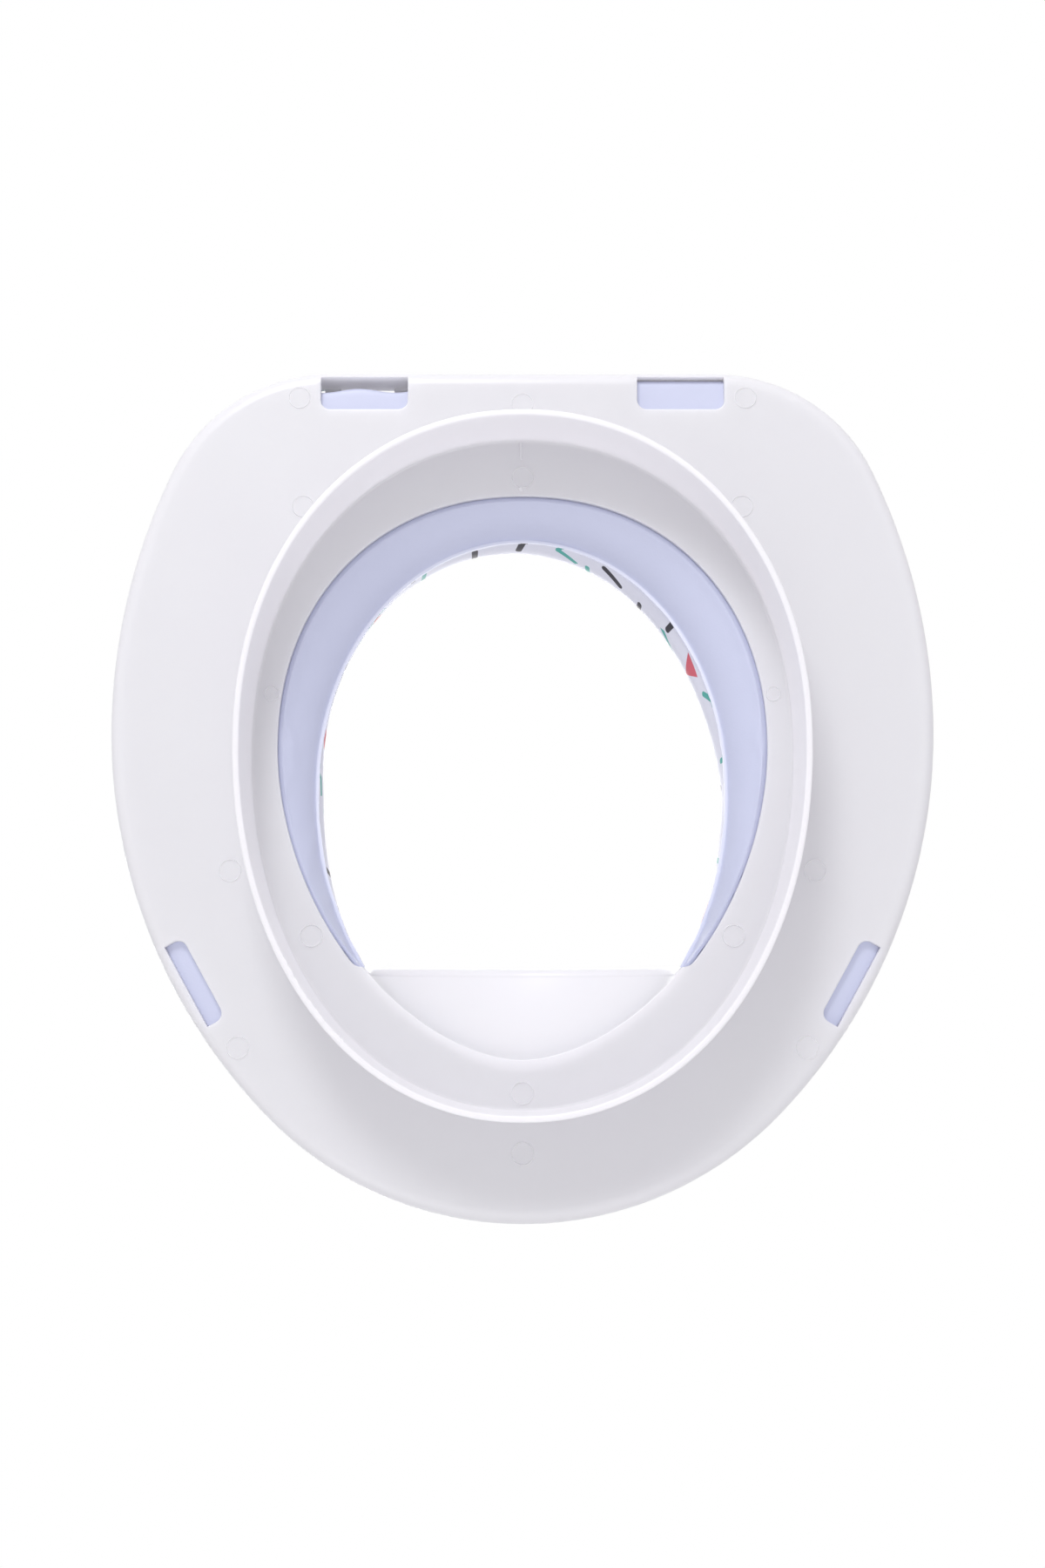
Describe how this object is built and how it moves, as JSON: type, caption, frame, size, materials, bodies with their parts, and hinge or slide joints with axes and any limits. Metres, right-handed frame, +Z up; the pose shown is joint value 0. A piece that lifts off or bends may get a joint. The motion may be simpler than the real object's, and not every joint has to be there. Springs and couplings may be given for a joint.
{
  "type": "potty training seat",
  "caption": "Padded child's toilet seat insert: a moulded base with an oval locating skirt and hooded splash guard carries a clip-in vinyl ring cushion.",
  "frame": {"origin": "middle of the bounding box, on the surface that the skirt's free edge stands on", "axes": "+Z up from the skirt to the cushion, -Y towards the front with the splash guard, +X to the side"},
  "size_m": [0.2928, 0.3032, 0.075],
  "materials": {
    "moulding": "satin white moulded polypropylene with ejector pin marks",
    "plain_vinyl": "smooth pale lavender vinyl sheet, slightly wrinkled",
    "printed_vinyl": null,
    "foam": "soft open-cell foam, hidden inside the covers"
  },
  "bodies": {
    "root": {"base_moulding": "moulding", "bottom_cover": "plain_vinyl", "foam_core": "foam", "top_cover": "printed_vinyl"}
  },
  "joints": []
}
